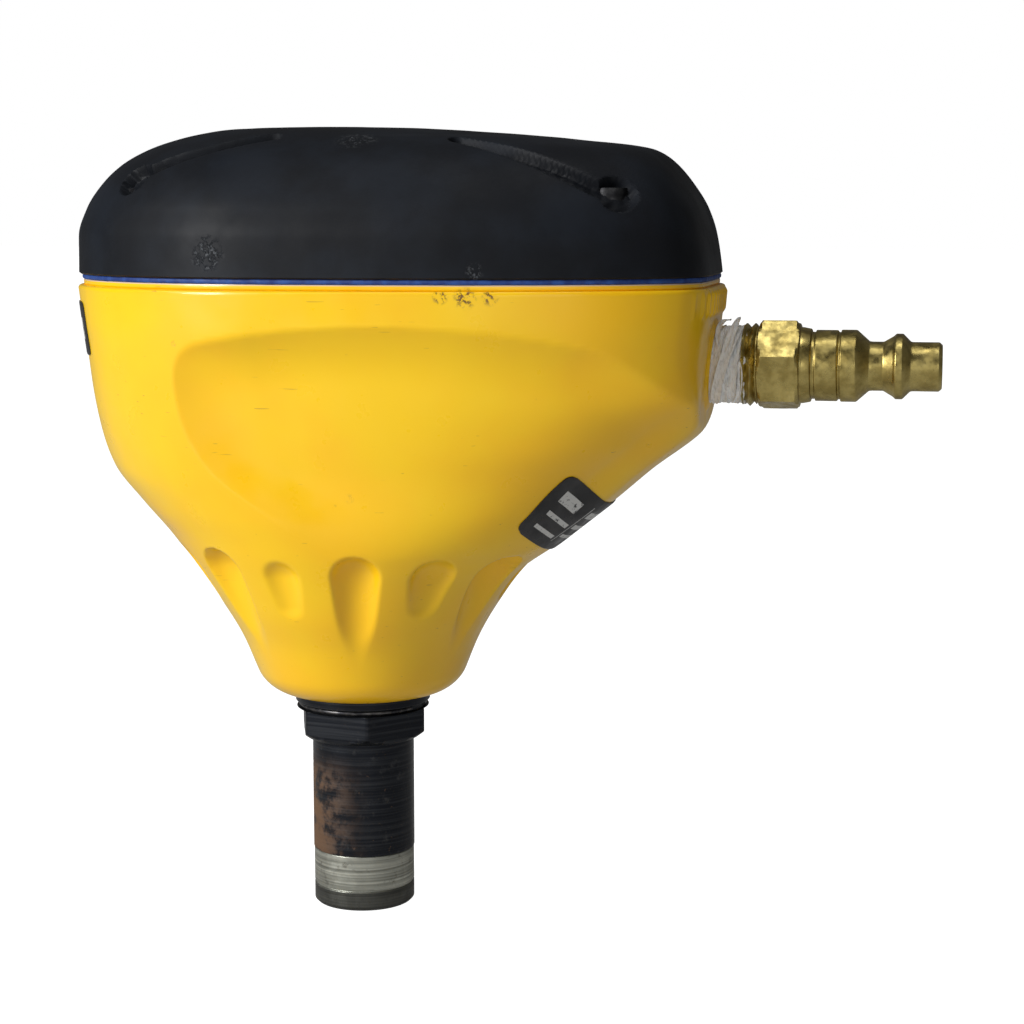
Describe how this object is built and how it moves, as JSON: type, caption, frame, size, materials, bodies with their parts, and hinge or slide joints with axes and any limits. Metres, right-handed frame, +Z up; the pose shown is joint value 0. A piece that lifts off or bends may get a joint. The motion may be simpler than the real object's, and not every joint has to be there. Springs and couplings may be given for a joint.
{
  "type": "palm nailer",
  "caption": "Compact pneumatic palm nailer: cast housing with rubber palm grip, telescoping magnetic nose, internal hammer and brass air plug.",
  "frame": {"origin": "centre of the nail opening at the lower face of the nose tip, with the nose fully extended", "axes": "+Z up along the drive axis towards the palm grip, +X towards the air plug, +Y to the left when +X is forward"},
  "size_m": [0.1474, 0.0744, 0.1351],
  "materials": {
    "yellow_paint": "semi-gloss yellow enamel over cast metal",
    "black_rubber": "matte fine-grained rubber",
    "cap_metal": "as-cast, satin",
    "blue_gasket": "blue sheet gasket, cut edge",
    "black_oxide": "black oxide, worn, with rust bloom",
    "bare_steel": "turned bare steel",
    "tool_steel": "ground steel",
    "brass": "tarnished machined brass",
    "white_tape": "white thread seal tape",
    "seal_rubber": "black nitrile",
    "bumper_urethane": "amber urethane",
    "magnet": "dark ferrite",
    "cylinder_alu": "honed",
    "valve_plastic": "black acetal",
    "label_black": "black printed film"
  },
  "bodies": {
    "housing_body": {"housing": "yellow_paint", "palm_grip": "black_rubber", "head_cap": "cap_metal", "cap_gasket": "blue_gasket", "cap_screws": "black_oxide", "cap_washers": "tool_steel", "cylinder_sleeve": "cylinder_alu", "sleeve_seals": "seal_rubber", "bumper": "bumper_urethane", "rod_bushing": "tool_steel", "rod_seal": "seal_rubber", "valve_seat": "tool_steel", "valve_cover": "valve_plastic", "valve_cushion": "seal_rubber", "nose_spring": "tool_steel", "spring_seat": "tool_steel", "nose_stop_washer": "bumper_urethane", "nose_collar": "black_oxide", "collar_snap_ring": "black_oxide", "air_plug": "brass", "thread_tape": "white_tape", "rating_label": "label_black", "end_label": "label_black"},
    "nose": {"nose_tube": "black_oxide", "nose_tip": "bare_steel", "nose_magnet": "magnet"},
    "driver_group": {"driver": "tool_steel", "piston": "tool_steel", "piston_ring": "seal_rubber"},
    "head_valve": {"valve_disc": "valve_plastic"}
  },
  "joints": [
    {"name": "nose_slide", "type": "slide", "parent": "housing_body", "child": "nose", "axis": [0, 0, 1], "range_m": [0, 0.018], "stiffness_N_per_m": 900, "springref_m": -0.02, "deforming": ["nose_spring"]},
    {"name": "driver_slide", "type": "slide", "parent": "housing_body", "child": "driver_group", "axis": [0, 0, 1], "range_m": [0, 0.02]},
    {"name": "head_valve_lift", "type": "slide", "parent": "housing_body", "child": "head_valve", "axis": [0, 0, 1], "range_m": [0, 0.0009]}
  ]
}
